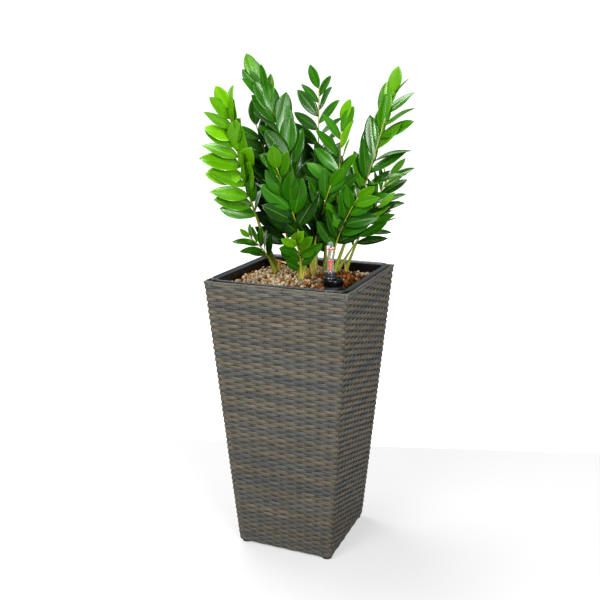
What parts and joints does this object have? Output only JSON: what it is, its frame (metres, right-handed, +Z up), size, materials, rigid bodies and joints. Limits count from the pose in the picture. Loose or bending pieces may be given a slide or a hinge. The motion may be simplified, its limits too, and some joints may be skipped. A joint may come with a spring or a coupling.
{
  "type": "self-watering planter",
  "caption": "Tall tapered square wicker planter on a welded frame, with a lift-out liner, water reservoir, fill shaft, float level gauge, granules and a pinnate-leaved plant.",
  "frame": {"origin": "centre of the square footprint, on the floor under the feet", "axes": "+Z up along the planter's axis; the front face points along -Y and the gauge is at the +X -Y corner"},
  "size_m": [0.3635, 0.2992, 1.0113],
  "materials": {
    "frame_steel": "powder coated, satin",
    "stake": "extruded rattan-look rod, matt",
    "strand": "half-round rattan-look strand with streaks, satin",
    "foot": "moulded, matt",
    "liner": "injection moulded, semi-gloss rim",
    "insert": "injection moulded, matt",
    "fill_pipe": "extruded, matt",
    "granules": "loose porous granules",
    "rhizome": "living tuber, papery skin",
    "leaf": "living leaf and stalk, waxy gloss",
    "cap": "injection moulded, gloss",
    "stem": "extruded, satin",
    "collar": "injection moulded, high gloss",
    "clear": "clear acrylic",
    "mark": "printed band",
    "float": "blow moulded",
    "pointer": "moulded",
    "plug": "injection moulded",
    "seal": "moulded"
  },
  "bodies": {
    "casing": {"frame_base_ring": "frame_steel", "frame_top_ring": "frame_steel", "frame_hoop_lower": "frame_steel", "frame_hoop_upper": "frame_steel", "corner_post_front_left": "frame_steel", "corner_post_front_right": "frame_steel", "corner_post_back_left": "frame_steel", "corner_post_back_right": "frame_steel", "base_cross_bars": "frame_steel", "weaving_stakes": "stake", "woven_skin": "strand", "woven_rim_binding": "strand", "foot_front_left": "foot", "foot_front_right": "foot", "foot_back_left": "foot", "foot_back_right": "foot"},
    "liner": {"liner_tub": "liner", "separator_plate": "insert", "separator_legs": "insert", "wicking_cup_front_left": "insert", "wicking_cup_back_left": "insert", "wicking_cup_back_right": "insert", "fill_tube": "fill_pipe", "granule_bed": "granules", "plant_rhizome": "rhizome", "frond_01": "leaf", "frond_02": "leaf", "frond_03": "leaf", "frond_04": "leaf", "frond_05": "leaf", "frond_06": "leaf", "frond_07": "leaf", "frond_08": "leaf", "frond_09": "leaf", "frond_10": "leaf", "frond_11": "leaf", "frond_12": "leaf", "frond_13": "leaf", "frond_14": "leaf"},
    "gauge": {"fill_cap": "cap", "gauge_stem": "stem", "gauge_collar": "collar", "sight_tube": "clear", "level_marks": "mark"},
    "float": {"float_body": "float", "float_rod": "pointer"},
    "drain_seal_body": {"drain_seal": "seal"},
    "drain_plug_body": {"drain_plug": "plug"}
  },
  "joints": [
    {"name": "liner_lift", "type": "slide", "parent": "casing", "child": "liner", "axis": [0, 0, 1], "range_m": [0, 0.32]},
    {"name": "gauge_pull", "type": "slide", "parent": "liner", "child": "gauge", "axis": [0, 0, 1], "range_m": [0, 0.3]},
    {"name": "float_rise", "type": "slide", "parent": "gauge", "child": "float", "axis": [0, 0, 1], "range_m": [-0.012, 0.03]},
    {"name": "drain_travel", "type": "slide", "parent": "liner", "child": "drain_seal_body", "axis": [0, 0, -1], "range_m": [0, 0.009]},
    {"name": "drain_turn", "type": "hinge", "parent": "drain_seal_body", "child": "drain_plug_body", "pos_m": [0, 0, 0.3], "axis": [0, 0, -1], "range_deg": [0, 1080]}
  ],
  "couplings": [
    {"joint": "drain_travel", "follows": "drain_turn", "m_per_rad": 0.00047746}
  ]
}
